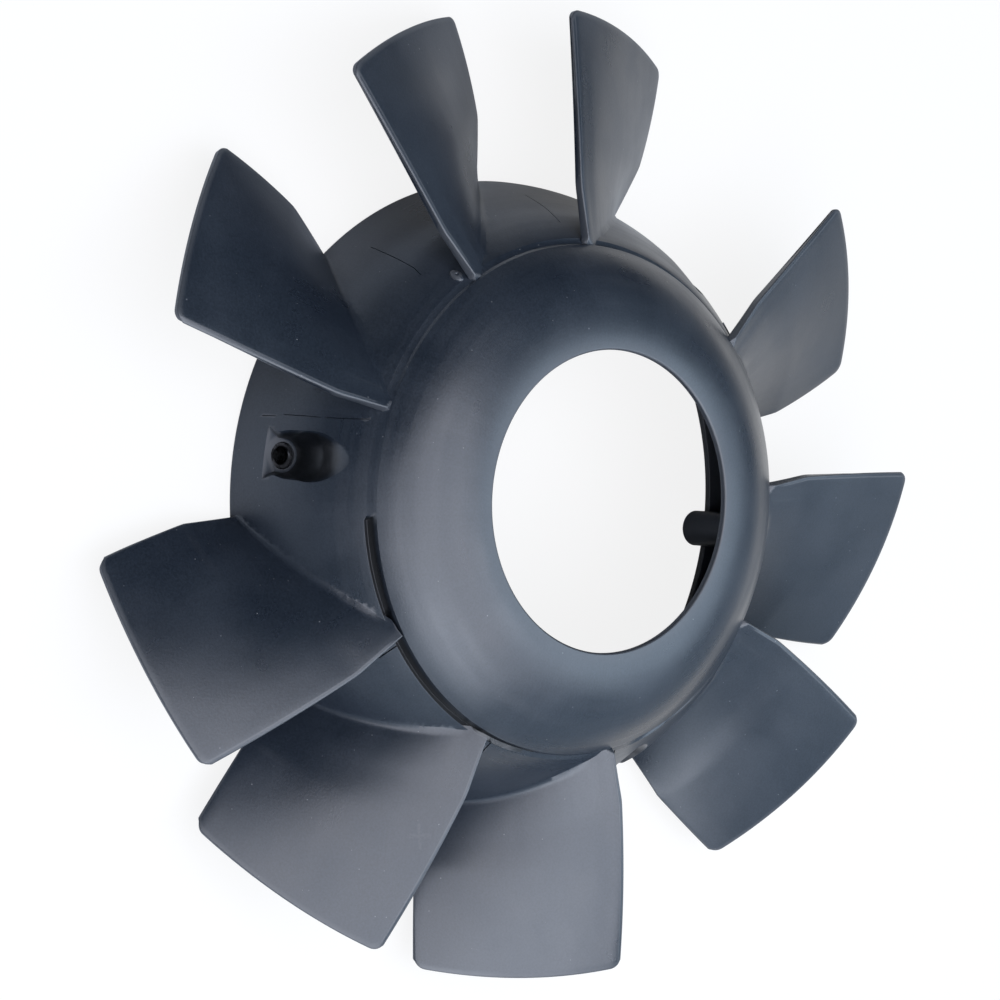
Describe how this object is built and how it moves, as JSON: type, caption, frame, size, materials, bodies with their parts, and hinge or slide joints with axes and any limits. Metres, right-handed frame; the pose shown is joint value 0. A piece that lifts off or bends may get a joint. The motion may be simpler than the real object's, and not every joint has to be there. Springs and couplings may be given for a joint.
{
  "type": "engine cooling fan",
  "caption": "One-piece moulded axial fan with a hollow domed hub, a round front opening, curved blades and bushed fixing pockets.",
  "frame": {"origin": "centre of the rear rim's plane, on the fan's axis", "axes": "+Z along the axis of rotation, from the rear rim towards the dome and the front opening; one fixing pocket lies on -Y"},
  "size_m": [0.3806, 0.3756, 0.0748],
  "materials": {
    "fan_plastic": "satin moulded plastic, dark grey with a bluish sheen",
    "bush_steel": "dark oiled steel"
  },
  "bodies": {
    "root": {"fan_wheel": "fan_plastic", "bush_1": "bush_steel", "bush_2": "bush_steel", "bush_3": "bush_steel"}
  },
  "joints": []
}
